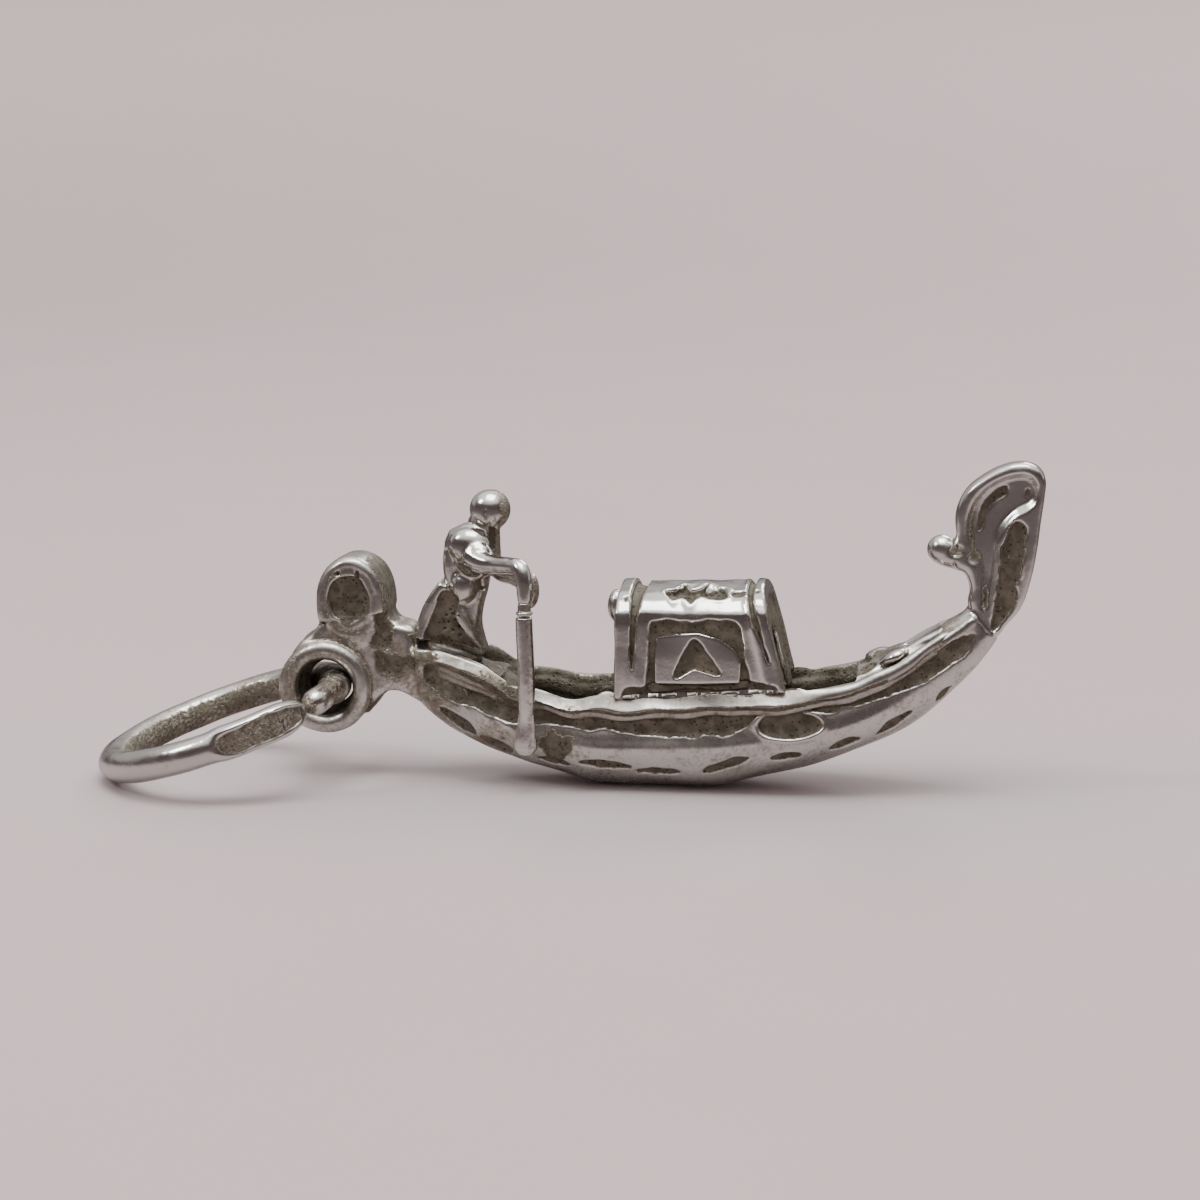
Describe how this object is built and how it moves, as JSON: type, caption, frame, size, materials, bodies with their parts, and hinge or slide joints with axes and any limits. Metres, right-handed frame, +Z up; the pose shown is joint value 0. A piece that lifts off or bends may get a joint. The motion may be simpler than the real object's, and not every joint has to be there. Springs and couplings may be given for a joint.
{
  "type": "gondola charm",
  "caption": "Cast silver gondola charm: hull with relief, cabin, bow iron, gondolier with upright oar, and a jump ring that swings in an eye at the stern.",
  "frame": {"origin": "middle of the flat rest under the keel, on the surface that the charm stands on", "axes": "+X towards the bow, +Y towards port, +Z up; the oar is on the starboard side"},
  "size_m": [0.0296, 0.0085, 0.0104],
  "materials": {
    "polished_silver": "bright cast silver, softly polished on high spots, with dark tarnish left in hollows",
    "worn_silver": "cast silver with fine pits and grey-brown tarnish, rubbed bright on its edges",
    "oxidised_silver": "blackened, rough cast silver in recesses",
    "ring_silver": "drawn silver wire, polished on top and dull with tarnish inside"
  },
  "bodies": {
    "boat": {"hull": "worn_silver", "gunwale_starboard": "polished_silver", "gunwale_port": "polished_silver", "foredeck": "polished_silver", "foredeck_coaming": "polished_silver", "stern_deck": "worn_silver", "cabin_canopy": "polished_silver", "cabin_hoop_aft": "polished_silver", "cabin_hoop_fore": "polished_silver", "cabin_panel_starboard": "polished_silver", "cabin_panel_port": "polished_silver", "cabin_aft_wall": "oxidised_silver", "cabin_fore_wall": "oxidised_silver", "cabin_knob": "polished_silver", "ferro_blade": "polished_silver", "ferro_spur": "polished_silver", "gondolier_torso": "polished_silver", "gondolier_head": "polished_silver", "gondolier_legs": "worn_silver", "gondolier_arm_starboard": "polished_silver", "gondolier_arm_port": "worn_silver", "oar_shaft": "polished_silver", "oar_collar": "worn_silver", "oar_blade": "polished_silver", "stern_eye": "worn_silver", "stern_scroll": "worn_silver", "stern_post": "worn_silver"},
    "ring": {"jump_ring": "ring_silver"}
  },
  "joints": [
    {"name": "ring_swing", "type": "hinge", "parent": "boat", "child": "ring", "pos_m": [-0.01029, 0, 0.00288], "axis": [0, 1, 0], "range_deg": [-130, 135]}
  ]
}
